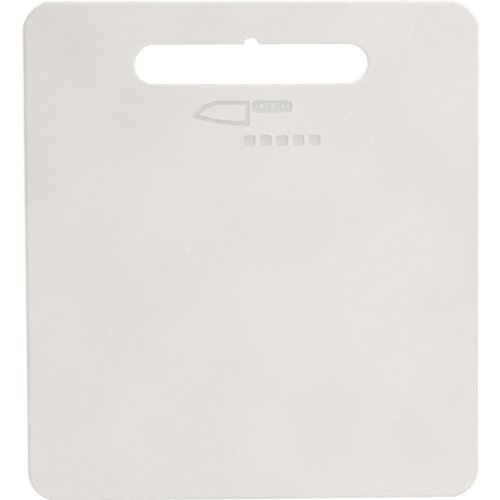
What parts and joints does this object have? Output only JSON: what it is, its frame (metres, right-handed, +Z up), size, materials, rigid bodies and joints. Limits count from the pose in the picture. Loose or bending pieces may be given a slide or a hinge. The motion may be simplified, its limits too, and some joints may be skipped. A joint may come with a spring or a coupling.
{
  "type": "cutting board",
  "caption": "Flat rectangular plastic cutting board with rounded corners, a long hand slot near one end with a half-round hang notch, and a recessed knife emblem.",
  "frame": {"origin": "Middle of the board's outline, on the surface that its back face rests on.", "axes": "+Z up out of the cutting face, +Y towards the hand slot, +X to the right when the cutting face is looked at with the hand slot at the top."},
  "size_m": [0.2794, 0.308, 0.0095],
  "materials": {
    "polyethylene": "off-white moulded polyethylene with a fine matt texture, slightly translucent"
  },
  "bodies": {
    "root": {"board": "polyethylene"}
  },
  "joints": []
}
